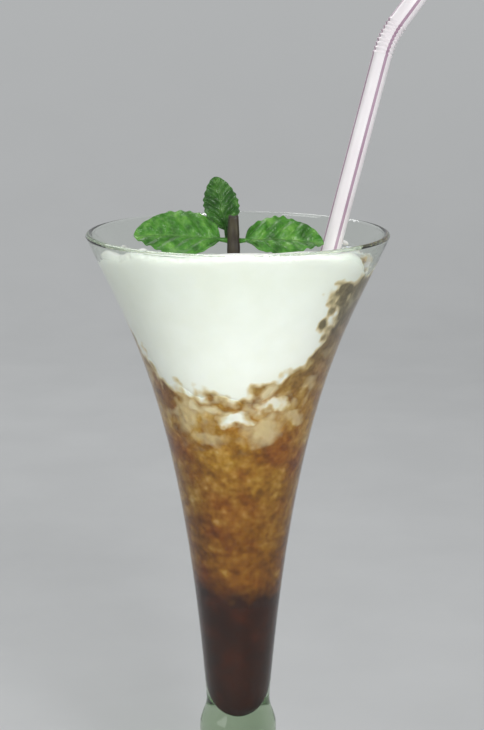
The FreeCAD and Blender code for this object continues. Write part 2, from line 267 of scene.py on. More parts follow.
# %% How much cream there is at a place
STREAKS_FROM, STREAKS_TO = RIM - 28 * MM, RIM - 40 * MM


def cream_share(tree, place):
    """0 in the ice, 1 in the cream, with a milky edge between."""
    lumpy = pushed_about(tree, place, 2.0, 4.0)
    over = height_over_pocket(tree, lumpy)
    lumps = add(tree, "TexNoise", {"Vector": place, "Scale": per(5.5), "Detail": 1.0})
    lumps = add(tree, "MapRange", [lumps, 0.2, 0.8, -2.2 * MM, 2.2 * MM])
    over = add(tree, "Math", [over, lumps], operation="ADD")
    share = add(tree, "MapRange", [over, -1.6 * MM, 0.6 * MM])
    streaks = add(tree, "TexNoise", {"Vector": lumpy, "Scale": per(6.0), "Detail": 1.0})
    streaks = add(tree, "MapRange", [streaks, 0.52, 0.68, 0.0, 0.5])
    nearby = add(tree, "MapRange", [over, -13 * MM, -3 * MM])
    streaks = add(tree, "Math", [streaks, nearby], operation="MULTIPLY")
    height = add(tree, "SeparateXYZ", [place], "Z")
    low = add(tree, "MapRange", [height, STREAKS_FROM, STREAKS_TO])
    streaks = add(tree, "Math", [streaks, low], operation="MULTIPLY")
    share = add(tree, "Math", [share, streaks], operation="MAXIMUM")
    tongues = tongue_share(tree, pushed_about(tree, lumpy, 8.0, 5.0))
    return add(tree, "Math", [share, tongues], operation="MAXIMUM")


print("streaks of cream start", round((RIM - STREAKS_FROM) / MM), "mm under the rim")

# %% Colour of the ice
GRAIN_WIDTH = 3.2
DEEP_FROM, DEEP_TO = RIM - 55 * MM, RIM - 105 * MM
THIN_FROM, THIN_TO = RIM - 50 * MM, RIM - 22 * MM


def ice_colour(tree, place):
    """Crystals of frozen coffee: amber and brown grains, in larger soft patches."""
    lumpy = pushed_about(tree, place, 2.4, 2.4)
    grain = add(tree, "TexVoronoi", {"Vector": lumpy, "Scale": per(GRAIN_WIDTH)}, "Color",
                feature="SMOOTH_F1")
    tone = add(tree, "SeparateColor", [grain])
    small = add(tree, "TexNoise", {"Vector": place, "Scale": per(2.0), "Detail": 2.0})
    small = add(tree, "Math", [small, 0.75], operation="MULTIPLY")
    mixed = add(tree, "Math", [tone, 0.45, small], operation="MULTIPLY_ADD")
    crystals = add(tree, "ValToRGB", [mixed], stops=[
        (0.25, "#7E540B"), (0.48, "#9F7016"), (0.64, "#B5882C"), (0.8, "#CAA253"),
        (0.95, "#E2C890")])
    patches = add(tree, "TexNoise", {"Vector": place, "Scale": per(11.0), "Detail": 2.0})
    shade = add(tree, "MapRange", [patches, 0.4, 0.68])
    crystals = add(tree, "Mix", {0: shade, 6: crystals, 7: "#D8B06C"}, 2, data_type="RGBA",
                   blend_type="MULTIPLY")
    height = add(tree, "SeparateXYZ", [place], "Z")
    # Further down the glass the grains are made browner and darker.
    deep = add(tree, "MapRange", [height, DEEP_FROM, DEEP_TO])
    crystals = add(tree, "Mix", {0: deep, 6: crystals, 7: "#D0AC60"}, 2, data_type="RGBA",
                   blend_type="MULTIPLY")
    # High on the near wall the ice is a thin wet layer, grey green against the glass.
    thin = add(tree, "MapRange", [height, THIN_FROM, THIN_TO, 0.0, 0.85])
    depth = add(tree, "SeparateXYZ", [place], "Y")
    near = add(tree, "MapRange", [depth, 2 * MM, -14 * MM])
    thin = add(tree, "Math", [thin, near], operation="MULTIPLY")
    slush = add(tree, "ValToRGB", [mixed], stops=[
        (0.3, "#59543F"), (0.55, "#726C55"), (0.8, "#968F78")])
    return add(tree, "Mix", {0: thin, 6: crystals, 7: slush}, 2, data_type="RGBA")


print("grains show about", GRAIN_WIDTH, "mm wide")

# %% Ice and cream, stirred together
MILKY = "#DCC9A2"


def stirred(tree, place, ice):
    """Ice, then the milky edge, then cream, by how much cream is there."""
    share = cream_share(tree, place)
    milky = add(tree, "MapRange", [share, 0.0, 0.5])
    edge = add(tree, "Mix", {0: milky, 6: ice, 7: MILKY}, 2, data_type="RGBA")
    soft = add(tree, "TexNoise", {"Vector": place, "Scale": per(9.0), "Detail": 3.0})
    cream = add(tree, "ValToRGB", [soft], stops=[(0.3, "#F5F5F1"), (0.7, "#FAFAF8")])
    full = add(tree, "MapRange", [share, 0.45, 0.9])
    return add(tree, "Mix", {0: full, 6: edge, 7: cream}, 2, data_type="RGBA")


print("between ice and cream the edge is", MILKY)

# %% [markdown]
# ## Cream
# Lightly whipped cream, just pourable: bright, soft, with low folds that slump towards
# the far wall. The measured solid is grown a little so that it reaches into the glass
# wall, remeshed to an even skin, drawn up a little at the glass and lifted into folds
# by a soft noise.

# %% Cream material
cream_material = new_material("poured_cream")
tree = cream_material.node_tree
place = add(tree, "TexCoord", give="Object")
soft = add(tree, "TexNoise", {"Vector": place, "Scale": per(2.4), "Detail": 3.0})
ripples = add(tree, "Bump", {"Height": soft, "Strength": 0.15, "Distance": 0.4 * MM})
# Fat scatters light a long way in all colours, so shade in cream stays pale.
whipped = add(tree, "BsdfPrincipled", {
    "Base Color": stirred(tree, place, ice_colour(tree, place)), "Roughness": 0.42,
    "IOR": 1.35, "Specular IOR Level": 0.3, "Subsurface Weight": 0.35,
    "Subsurface Radius": (1, 0.95, 0.85), "Subsurface Scale": 2.0 * MM, "Normal": ripples})
add(tree, "OutputMaterial", {"Surface": whipped})
print("the cream material has", len(tree.nodes), "nodes")

# %% Helpers for what fills the glass
WALL_RADIUS = 40.8 * MM
WALL_LEAN = 0.435


def filling(node, name, growth, grid):
    """A copy of a measured solid, grown into the glass wall and remeshed on an even grid."""
    pick(frame["nodes"][node])
    bpy.ops.object.duplicate()
    piece = bpy.context.active_object
    piece.name = name
    piece.data.materials.clear()
    edit(piece)
    bpy.ops.mesh.remove_doubles(threshold=0.002 * MM)
    bpy.ops.mesh.customdata_custom_splitnormals_clear()
    bpy.ops.transform.shrink_fatten(value=growth)
    done()
    modify(piece, "REMESH", mode="VOXEL", voxel_size=grid)
    return piece


def to_wall(spot):
    """How far inside the leaning glass wall a spot lies, measured on the level."""
    return WALL_RADIUS - WALL_LEAN * (RIM - spot.z) - math.hypot(spot.x, spot.y)


def weigh(piece, name, weight):
    """Writes a vertex group whose weights follow a rule of place and normal."""
    group = piece.vertex_groups.new(name=name)
    for vertex in piece.data.vertices:
        group.add([vertex.index], min(max(weight(vertex), 0.0), 1.0), "REPLACE")
    return name


print("the wall leans out by", round(math.degrees(math.atan(WALL_LEAN)), 1), "degrees")

# %% Cream body
DRAWN_UP = 1.8 * MM
FOLD_HEIGHT = 2.2 * MM
cream = filling("cream", "cream_pour", growth=0.38 * MM, grid=0.75 * MM)


def open_top(vertex):
    """1 on the cream's free top, 0 where it clings to the wall."""
    return min((vertex.normal.z - 0.6) * 4, to_wall(vertex.co) / (6 * MM))


def clinging(vertex):
    """More towards the wall and the two sides, where cream has been drawn up the glass."""
    near_wall = 1 - to_wall(vertex.co) / (5 * MM)
    sideways = 0.4 + 0.6 * min(abs(vertex.co.x) / (38 * MM), 1) ** 2
    return min((vertex.normal.z + 0.2) * 4, 1) * max(near_wall, 0) * sideways


free = weigh(cream, "free", open_top)
clung = weigh(cream, "clung", clinging)
modify(cream, "DISPLACE", direction="Z", strength=DRAWN_UP, mid_level=0.0, vertex_group=clung)
folds = bpy.data.textures.new("folds", "CLOUDS")
folds.noise_scale = 9 * MM
modify(cream, "DISPLACE", texture=folds, texture_coords="LOCAL", direction="Z",
       strength=FOLD_HEIGHT, mid_level=0.5, vertex_group=free)
modify(cream, "SMOOTH", factor=0.5, iterations=2)
pick(cream)
bpy.ops.object.shade_smooth()
dress(cream, cream_material, "cream", "cream")

# %% [markdown]
# ## Coffee ice
# Granita is coffee frozen and scraped: wet grains of a millimetre or two. Pressed
# against the glass they make a mosaic, so the grown and remeshed solid gets grain
# relief inside the thickness of the wall, where no air can show.

# %% Where the ice is soaked with coffee
COFFEE_TOP = RIM - 111.0 * MM
COFFEE_TILT = math.tan(math.radians(8))
SOAKED_FROM, SOAKED_TO = COFFEE_TOP + 14 * MM, COFFEE_TOP + 7 * MM


def brew_colour(tree, place):
    """Dark coffee with faint clouds of ice that hasn't quite melted."""
    clouds = add(tree, "TexNoise", {"Vector": place, "Scale": per(6.0), "Detail": 2.0})
    return add(tree, "ValToRGB", [clouds], stops=[
        (0.3, "#2C0E02"), (0.5, "#371303"), (0.75, "#4A1C06")])


def soaked_share(tree, place):
    """1 just over the dark coffee, fading to 0 some millimetres higher."""
    across = add(tree, "SeparateXYZ", [place], "X")
    height = add(tree, "SeparateXYZ", [place], "Z")
    height = add(tree, "Math", [across, COFFEE_TILT, height], operation="MULTIPLY_ADD")
    uneven = add(tree, "TexNoise", {"Vector": place, "Scale": per(4.5), "Detail": 2.0})
    height = add(tree, "Math", [uneven, 10 * MM, height], operation="MULTIPLY_ADD")
    return add(tree, "MapRange", [height, SOAKED_FROM, SOAKED_TO])


print("dark coffee stands", round(COFFEE_TOP / MM), "mm over the table")

# %% Coffee ice material
ice_material = new_material("scraped_coffee_ice")
tree = ice_material.node_tree
place = add(tree, "TexCoord", give="Object")
crystals = add(tree, "Mix", {0: soaked_share(tree, place), 6: ice_colour(tree, place),
                             7: brew_colour(tree, place)}, 2, data_type="RGBA")
facets = add(tree, "TexVoronoi", {"Vector": place, "Scale": per(1.6)})
relief = add(tree, "Bump", {"Height": facets, "Strength": 0.3, "Distance": 0.3 * MM})
# Wet grains glisten and let a little light in, and coffee takes the blue out of it.
wet_ice = add(tree, "BsdfPrincipled", {
    "Base Color": stirred(tree, place, crystals), "Roughness": 0.3, "IOR": 1.33,
    "Specular IOR Level": 0.25, "Subsurface Weight": 0.3, "Subsurface Radius": (1, 0.6, 0.25),
    "Subsurface Scale": 1.2 * MM, "Normal": relief})
add(tree, "OutputMaterial", {"Surface": wet_ice})
print("the ice material has", len(tree.nodes), "nodes")

# %% Coffee ice body
GRAIN_RELIEF = 0.5 * MM
ice = filling("granita", "coffee_ice", growth=0.45 * MM, grid=0.55 * MM)
scraped = bpy.data.textures.new("scraped", "VORONOI")
scraped.noise_scale = 2.0 * MM
modify(ice, "DISPLACE", texture=scraped, texture_coords="LOCAL", direction="NORMAL",
       strength=-GRAIN_RELIEF, mid_level=0.35)
pick(ice)
bpy.ops.object.shade_smooth()
dress(ice, ice_material, "coffee_ice", "granita")

# %% [markdown]
# ## Dark coffee
# The sweet coffee that has melted and run to the bottom, nearly black, a little
# lighter where the light comes through the round end of the cavity. It could be left as
# a clear liquid, but coffee this strong hides its inside, so a dark skin that lets a
# little light in looks the same and renders sooner. It is made as the ice is, on a finer
# grid, and smoothed.

# %% Dark coffee material
coffee_material = new_material("melted_coffee")
tree = coffee_material.node_tree
place = add(tree, "TexCoord", give="Object")
# Strong coffee passes a little red light and nothing else, and its surface is smooth.
brew = add(tree, "BsdfPrincipled", {
    "Base Color": brew_colour(tree, place), "Roughness": 0.35, "IOR": 1.33,
    "Specular IOR Level": 0.15, "Subsurface Weight": 0.25,
    "Subsurface Radius": (1, 0.35, 0.1), "Subsurface Scale": 1.5 * MM})
add(tree, "OutputMaterial", {"Surface": brew})
print("the coffee material has", len(tree.nodes), "nodes")

# %% Dark coffee body
# The top is lifted a little way into the ice, so that no seam shows at the wall.
INTO_ICE = 1.6 * MM
coffee = filling("dark_coffee", "dark_coffee_pool", growth=0.5 * MM, grid=0.4 * MM)
modify(coffee, "SMOOTH", factor=0.5, iterations=8)
lid = weigh(coffee, "lid", lambda v: (v.normal.z - 0.2) * 5)
modify(coffee, "DISPLACE", direction="Z", strength=INTO_ICE, mid_level=0.0, vertex_group=lid)
pick(coffee)
bpy.ops.object.shade_smooth()
dress(coffee, coffee_material, "coffee", "dark_coffee")

# %% [markdown]
# ## Loose grains and stray cream
# On the right the ice stands clear of the cream, so its top shows: there real grains
# lie loose on it. One grain is modelled, roughened and copied, each copy with its own
# mesh, turn and size. Small peaks and smears of cream are made the same way; the smears
# on the far wall are partly cream and partly painted highlights, white marks for glints.

# %% Where the ice is bare of cream
# The cream's top slopes down from its near edge, and ends at a shore on one side.
NEAR_EDGE = Vector((0, -42 * MM, RIM - 1.2 * MM))
CREAM_SLOPE = math.tan(math.radians(9.4))
SHORE, SHORE_WIDTH, SHORE_DROP = 33 * MM, 5 * MM, 16 * MM
OFF_WALL = 0.4 * MM


def cream_level(x, y):
    """Height of the cream's top, without its folds."""
    shore = min(max((x - SHORE) / SHORE_WIDTH, 0.0), 1.0)
    drop = SHORE_DROP * shore * shore * (3 - 2 * shore)
    return NEAR_EDGE.z - CREAM_SLOPE * (y - NEAR_EDGE.y) - drop


bare = [v.co.copy() for v in ice.data.vertices
        if v.normal.z > 0.3 and v.co.z > cream_level(v.co.x, v.co.y)
        and to_wall(v.co) > OFF_WALL]
print(len(bare), "places where grains can lie")


# %% Helpers for copies
def lump(name, radius, jitter, seed):
    """A roughened ball, to be stretched and copied."""
    bpy.ops.mesh.primitive_ico_sphere_add(subdivisions=2, radius=radius)
    piece = bpy.context.active_object
    piece.name = name
    edit(piece)
    bpy.ops.transform.vertex_random(offset=jitter, seed=seed)
    done()
    return piece


def copied(source, matrix):
    """A copy with its own mesh, moved into place."""
    piece = bpy.data.objects.new(source.name + "_copy", source.data.copy())
    bpy.context.scene.collection.objects.link(piece)
    piece.data.transform(matrix)
    return piece


def stretch(x, y, z):
    """The matrix that stretches along the three axes."""
    return Matrix.Diagonal((x, y, z, 1))


def join(pieces, name):
    """Joins pieces into one object."""
    pick(pieces[0])
    for piece in pieces:
        piece.select_set(True)
    bpy.ops.object.join()
    pieces[0].name = name
    return pieces[0]


# %% Loose grains
GRAINS = 260
random.seed(11)
grain = lump("grain", radius=0.75 * MM, jitter=0.16 * MM, seed=3)
grains = []
for spot in random.sample(bare, min(len(bare), GRAINS)):
    turned = Matrix.Rotation(random.uniform(0, 6.28), 4, random.choice("XYZ"))
    size = random.uniform(0.6, 1.25)
    stretched = stretch(size, size * random.uniform(0.6, 1), size * random.uniform(0.5, 0.9))
    grains.append(copied(grain, Matrix.Translation(spot) @ turned @ stretched))
bpy.data.objects.remove(grain)
loose_ice = join(grains, "loose_ice_grains")
dress(loose_ice, ice_material, "coffee_ice")

# %% Stray cream and painted highlights
# One peak stands on the near left. Each smear has its place and its depth under the rim
# in millimetres, its width and height against the peak's, and its tip in radians. All
# lean back as the wall does. The smears on the far wall are partly cream and partly
# painted highlights: white marks where the glass shows glints.
PEAK = Vector((-26 * MM, -25 * MM, RIM - 3.4 * MM))
WITH_WALL = math.radians(-23.5)
SMEARS_AND_GLINTS = [(31.8, 21.5, 6.6, 2.2, 1.0, 0.0), (19.5, 35.6, 4.4, 2.4, 0.7, 0.6),
          (-34.0, 18.5, 7.5, 1.5, 0.8, -0.3), (35.6, 15.0, 7.6, 1.2, 0.8, 0.2)]
peak = lump("peak", radius=1.0 * MM, jitter=0.12 * MM, seed=5)
modify(peak, "SUBSURF", levels=1, render_levels=1)
dabs = [copied(peak, Matrix.Translation(PEAK) @ stretch(2.3, 2.0, 2.6))]
for x, y, down, wide, tall, tip in SMEARS_AND_GLINTS:
    spot = Matrix.Translation((x * MM, y * MM, RIM - down * MM))
    facing = Matrix.Rotation(math.atan2(y, x) + math.pi / 2, 4, "Z")
    laid = facing @ Matrix.Rotation(WITH_WALL, 4, "X") @ Matrix.Rotation(tip, 4, "Y")
    dabs.append(copied(peak, spot @ laid @ stretch(wide, 0.5, tall)))
bpy.data.objects.remove(peak)
cream_and_glints = join(dabs, "stray_cream_and_painted_highlights")
bpy.ops.object.shade_smooth()
dress(cream_and_glints, cream_material, "cream")

# %% [markdown]
# ## The straw
# A bendable straw is an extruded polypropylene tube with stripes run in at the die, and
# pleats pressed in near one end. Here a ring is extruded upwards, ring by ring; at the
# pleats each new ring is also turned and made wider or narrower. The stripes are strips
# of faces, so they follow the bend as the real ones do.

# %% Sizes of the straw
STRAW_RADIUS = 2.9 * MM
STRAW_WALL = 0.35 * MM
STRAW_SIDES = 40
PLEATS = 9
PLEAT_PITCH = 1.2 * MM
PLEAT_DEPTH = 0.5 * MM
STRAW_BEND = math.radians(24)
STRAW_ARM = 36 * MM
# It stands with its foot far under the rim, and its pleats start some way over the rim.
UNDER_RIM, OVER_RIM = 126, 49
STRAW_FOOT = Vector((-3.81 * MM, -1.53 * MM, RIM - UNDER_RIM * MM))
STRAW_LEAN = math.radians(15.73)
STRAW_HEADING = math.radians(21.9)
STRAIGHT = (UNDER_RIM + OVER_RIM) * MM / math.cos(STRAW_LEAN)
print("straight for", round(STRAIGHT / MM), "mm, then", PLEATS, "pleats and the arm")

# %% Straw form
bpy.ops.mesh.primitive_circle_add(vertices=STRAW_SIDES, radius=STRAW_RADIUS)
straw = bpy.context.active_object
straw.name = "bendable_straw"
edit(straw)
stations = [(Vector((0, 0, 0)), 0.0)]


def push(length, bend=0.0, widen=1.0):
    """Extrudes the open end of the straw, then turns the new ring and widens it."""
    middle, turn = stations[-1]
    turn += bend / 2
    step = Vector((math.sin(turn), 0, math.cos(turn))) * length
    turn += bend / 2
    middle = middle + step
    bpy.ops.mesh.extrude_region_move(TRANSFORM_OT_translate={"value": step})
    if bend:
        bpy.ops.transform.rotate(value=-bend, orient_axis="Y", orient_type="GLOBAL",
                                 center_override=middle)
        bpy.ops.transform.resize(value=(widen,) * 3, center_override=middle)
    stations.append((middle, turn))


for _ in range(8):
    push(STRAIGHT / 8)
width = STRAW_RADIUS
half_pleats = 2 * PLEATS
for half in range(1, half_pleats + 1):
    side = 0 if half == half_pleats else 0.5 if half % 2 else -0.5
    wanted = STRAW_RADIUS + side * PLEAT_DEPTH
    push(PLEAT_PITCH / 2, STRAW_BEND / half_pleats, wanted / width)
    width = wanted
for _ in range(3):
    push(STRAW_ARM / 3)
bpy.ops.mesh.select_all(action="SELECT")
bpy.ops.mesh.flip_normals()
done()
print("the tube has", len(stations), "rings")

# %% Stripes of the straw
STRIPE_HALF = 5


def in_stripe(face):
    """True for the strips of faces that lie on the four sides of the tube."""
    middle, turn = min(stations, key=lambda station: (station[0] - face.center).length)
    out = face.center - middle
    sideways = Vector((math.cos(turn), 0, -math.sin(turn)))
    angle = math.degrees(math.atan2(out.y, out.dot(sideways)))
    return abs((angle + 45) % 90 - 45) < STRIPE_HALF


plastic = new_material("polypropylene_white")
stripe = new_material("polypropylene_mauve")
straw.data.materials.append(plastic)
straw.data.materials.append(stripe)
for face in straw.data.polygons:
    face.material_index = 1 if in_stripe(face) else 0
print("striped faces:", sum(face.material_index for face in straw.data.polygons))


# %% Wall and place of the straw
def settle(piece):
    """Moves the piece's place and turn into its mesh, so its object sits at the origin."""
    pick(piece)
    bpy.ops.object.transform_apply(location=True, rotation=True, scale=True)


modify(straw, "SOLIDIFY", thickness=STRAW_WALL, offset=-1.0)
straw.matrix_world = (Matrix.Translation(STRAW_FOOT) @ Matrix.Rotation(STRAW_HEADING, 4, "Z")
                      @ Matrix.Rotation(STRAW_LEAN, 4, "Y"))
settle(straw)
bpy.ops.object.shade_smooth_by_angle(angle=math.radians(35))
print("straw reaches", [round(c / MM) for c in straw.dimensions], "mm")

# %% Straw plastic and stripes
# Polypropylene is milky, so light softens inside the wall; the stripes are the same
# plastic with a pigment, run in as the tube was drawn.
for material, pale, deep in ((plastic, "#FAF5F7", "#F4ECF0"), (stripe, "#C0A6B8", "#AC8EA2")):
    tree = material.node_tree
    place = add(tree, "TexCoord", give="Object")
    soft = add(tree, "TexNoise", {"Vector": place, "Scale": per(12.0), "Detail": 2.0})
    tint = add(tree, "ValToRGB", [soft], stops=[(0.3, deep), (0.7, pale)])
    drawn = add(tree, "BsdfPrincipled", {
        "Base Color": tint, "Roughness": 0.28, "IOR": 1.49, "Subsurface Weight": 0.25,
        "Subsurface Radius": (1, 0.9, 0.9), "Subsurface Scale": 0.8 * MM})
    add(tree, "OutputMaterial", {"Surface": drawn})
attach(straw, "root")
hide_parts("straw")
print("straw leans", round(math.degrees(STRAW_LEAN), 1), "degrees")

# %% [markdown]
# ## Mint
# Each leaf starts as a flat grid. Its columns are lifted to a fold along the midrib, then
# its rows are narrowed one by one to a toothed oval and drooped. The grid's own UV map
# stays with it, so the veins of the material always run from the midrib to the teeth.

# %% Mint leaf material
VEINS = 6
VEIN_SLANT = 0.28


def vein_share(tree):
    """1 on the midrib, less on the side veins, 0 between, on the leaf's own map."""
    flat = add(tree, "UVMap")
    along = add(tree, "SeparateXYZ", [flat], "X")
    across = add(tree, "Math", [add(tree, "SeparateXYZ", [flat], "Y"), 2.0, -1.0],
                 operation="MULTIPLY_ADD")
    across = add(tree, "Math", [across], operation="ABSOLUTE")
    slant = add(tree, "Math", [across, -VEIN_SLANT, along], operation="MULTIPLY_ADD")
    sweep = add(tree, "Math", [slant, VEINS], operation="MULTIPLY")
    side = add(tree, "Math", [sweep, 0.5], operation="PINGPONG")
    side = add(tree, "MapRange", [side, 0.14, 0.0, 0.0, 0.5])
    midrib = add(tree, "MapRange", [across, 0.07, 0.0])
    return add(tree, "Math", [side, midrib], operation="MAXIMUM")


def mint_material(name, dark, middle, light, vein_colour):
    """A quilted leaf: waxy enough to shine, thin enough to pass green light."""
    material = new_material(name)
    tree = material.node_tree
    place = add(tree, "TexCoord", give="Object")
    soft = add(tree, "TexNoise", {"Vector": place, "Scale": per(3.4), "Detail": 3.0})
    blade = add(tree, "ValToRGB", [soft], stops=[(0.3, dark), (0.5, middle), (0.7, light)])
    lumpy = pushed_about(tree, place, 0.8, 1.0)
    net = add(tree, "TexVoronoi", {"Vector": lumpy, "Scale": per(1.3)}, "Distance",
              feature="DISTANCE_TO_EDGE")
    net = add(tree, "MapRange", [net, 0.0, 0.16])
    veins = vein_share(tree)
    shown = add(tree, "Math", [veins, 0.2], operation="MULTIPLY")
    blade = add(tree, "Mix", {0: shown, 6: blade, 7: vein_colour}, 2, data_type="RGBA")
    relief = add(tree, "Math", [net, veins], operation="SUBTRACT")
    quilt = add(tree, "Bump", {"Height": relief, "Strength": 0.35, "Distance": 0.25 * MM})
    leaf = add(tree, "BsdfPrincipled", {
        "Base Color": blade, "Roughness": 0.34, "IOR": 1.45, "Subsurface Weight": 0.2,
        "Subsurface Radius": (0.5, 1.0, 0.2), "Subsurface Scale": 0.8 * MM,
        "Sheen Weight": 0.1, "Sheen Roughness": 0.5, "Normal": quilt})
    add(tree, "OutputMaterial", {"Surface": leaf})
    return material


# The upright leaf stands behind the others, so its copy of the mint greens is darker: painted
# shade.
bright_leaf = mint_material("mint_leaf_bright", "#2C6212", "#478826", "#72AC46", "#9CC27A")
shaded_leaf = mint_material("mint_leaf_painted_shade", "#1C450D", "#2F641A", "#528434", "#78A058")
print("two greens, with", VEINS, "veins on each side of a leaf")

# %% Outline and relief of a leaf
TEETH = 9
ROWS, COLUMNS = 4 * TEETH, 24
LEAF_THICKNESS = 0.45 * MM
FOLD_ROUNDING = 1.5 * MM
CRINKLE_HEIGHT, WAVE_HEIGHT = 1.3 * MM, 3.0 * MM
crinkle = bpy.data.textures.new("crinkle", "CLOUDS")
crinkle.noise_scale = 2.8 * MM
waviness = bpy.data.textures.new("waviness", "CLOUDS")
waviness.noise_scale = 6 * MM


def oval(along):
    """How wide the leaf is at a share of its length, against its full breadth."""
    return math.sin(math.pi * min(max(along, 0.0), 1.0) ** 0.85) ** 0.6


def leaf_puff(vertex, stem, length, breadth):
    """How far a point of the blade lies from the veins, from 0 to 1."""
    share = (vertex.co.x - stem * MM) / (length * MM)
    side = abs(vertex.co.y) / (breadth / 2 * MM)
    between = abs(math.sin(math.pi * VEINS * (share - VEIN_SLANT * side)))
    return between * min(side * 3, 1) * min((1 - side) * 2.5, 1)


widest = max(range(ROWS + 1), key=lambda row: oval(row / ROWS))
print("a leaf is widest at row", widest, "of", ROWS)


# %% Blade of a leaf
def make_blade(name, stem, length, breadth, fold, droop):
    """A folded, toothed and drooping sheet, whose midrib starts stem from the origin."""
    bpy.ops.mesh.primitive_grid_add(x_subdivisions=ROWS, y_subdivisions=COLUMNS, size=1,
                                    calc_uvs=True)
    blade = bpy.context.active_object
    blade.name = name
    edit(blade)
    bpy.ops.transform.translate(value=(0.5, 0, 0))
    bpy.ops.transform.resize(value=(1, breadth * MM, 1), center_override=(0, 0, 0))
    for column in range(COLUMNS + 1):
        y = (column / COLUMNS - 0.5) * breadth * MM
        rise = fold * (math.hypot(y, FOLD_ROUNDING) - FOLD_ROUNDING)
        reselect(blade, lambda v: abs(v.co.y - y) < 0.2 * breadth / COLUMNS * MM)
        bpy.ops.transform.translate(value=(0, 0, rise))
    for row in range(ROWS + 1):
        share = row / ROWS
        depth = random.uniform(0.03, 0.07)
        tooth = depth * (1 - 4 * abs((share * TEETH) % 1 - 0.5))
        wide = max(oval(share) * (1 + tooth), 0.03)
        reselect(blade, lambda v: abs(v.co.x - share) < 0.2 / ROWS)
        bpy.ops.transform.resize(value=(1, wide, wide), center_override=(share, 0, 0))
        far = (stem + length * share) / (stem + length)
        bpy.ops.transform.translate(value=(0, 0, -droop * MM * far * abs(far)))
    bpy.ops.mesh.select_all(action="SELECT")
    bpy.ops.transform.resize(value=(length * MM, 1, 1), center_override=(0, 0, 0))
    bpy.ops.transform.translate(value=(stem * MM, 0, 0))
    done()
    return blade


def quilt_blade(blade, stem, length, breadth, puff):
    """Puffs the blade between its veins, waves its margin and gives it its thickness."""
    between = weigh(blade, "between_veins", lambda v: leaf_puff(v, stem, length, breadth))
    modify(blade, "DISPLACE", strength=puff * MM, mid_level=0.0, vertex_group=between)
    modify(blade, "DISPLACE", texture=crinkle, texture_coords="LOCAL", direction="Z",
           strength=CRINKLE_HEIGHT, mid_level=0.5, vertex_group=between)
    margin = weigh(blade, "margin", lambda v: (abs(v.co.y) / (breadth / 2 * MM)) ** 2)
    modify(blade, "DISPLACE", texture=waviness, texture_coords="LOCAL", direction="Z",
           strength=WAVE_HEIGHT, mid_level=0.5, vertex_group=margin)
    modify(blade, "SOLIDIFY", thickness=LEAF_THICKNESS, offset=0.0)
    modify(blade, "SUBSURF", levels=1, render_levels=1)


# %% Petiole of a leaf
PETIOLE_RADIUS = 0.85
INTO_STALK, INTO_BLADE = 1.4, 2.0


def make_petiole(stem):
    """The little stem under the blade, thinner where it runs out into the midrib."""
    length = stem + INTO_STALK + INTO_BLADE
    middle = (stem + INTO_BLADE - INTO_STALK) / 2
    bpy.ops.mesh.primitive_cylinder_add(vertices=12, radius=PETIOLE_RADIUS * MM,
                                        depth=length * MM, location=(middle * MM, 0, 0),
                                        rotation=(0, math.pi / 2, 0))
    petiole = bpy.context.active_object
    settle(petiole)
    edit(petiole, lambda v: v.co.x > stem * MM)
    bpy.ops.transform.resize(value=(1, 0.5, 0.5),
                             center_override=((stem + INTO_BLADE) * MM, 0, 0))
    done()
    return petiole


# %% Leaves in their places on the stalk
STALK = Vector((-1.2 * MM, -9.0 * MM, RIM + 6.04 * MM))
STALK_SIDE = 4.0 * MM
OFF_STALK = 0.4 * MM


def make_leaf(name, material, stem, length, breadth, fold, droop, puff, heading, pitch, roll,
              under):
    """One leaf in its place on the stalk, under its top; in millimetres and degrees."""
    blade = make_blade(name, stem, length, breadth, fold, droop)
    quilt_blade(blade, stem, length, breadth, puff)
    leaf = join([blade, make_petiole(stem)], name)
    turned = (Matrix.Rotation(math.radians(heading), 4, "Z")
              @ Matrix.Rotation(math.radians(-pitch), 4, "Y")
              @ Matrix.Rotation(math.radians(roll), 4, "X"))
    ahead = turned @ Vector((1, 0, 0))
    out = (STALK_SIDE / 2 + OFF_STALK) / max(abs(ahead.x), abs(ahead.y))
    seat = STALK - Vector((0, 0, under * MM)) + ahead * out
    leaf.matrix_world = Matrix.Translation(seat) @ turned
    settle(leaf)
    bpy.ops.object.shade_smooth()
    dress(leaf, material, "mint", name.replace("blade", "leaf"))


make_leaf("mint_blade_left", bright_leaf, stem=1.4, length=24.6, breadth=16.5, fold=0.25,
          droop=3.0, puff=1.3, heading=180, pitch=7, roll=-42, under=7.5)
make_leaf("mint_blade_right", bright_leaf, stem=0.9, length=22.2, breadth=15.0, fold=0.30,
          droop=3.5, puff=1.5, heading=-2, pitch=4, roll=36, under=7.5)
make_leaf("mint_blade_upright", shaded_leaf, stem=2.2, length=15.8, breadth=10.2, fold=0.20,
          droop=1.5, puff=1.1, heading=126, pitch=71, roll=-28, under=15.4)

# %% [markdown]
# ## The stalk
# Mint has a square stalk with a groove down each side and a swelling where leaves part.
# A small ring is extruded upwards, swollen at the joints, closed at both ends and pinched
# at the grooves.

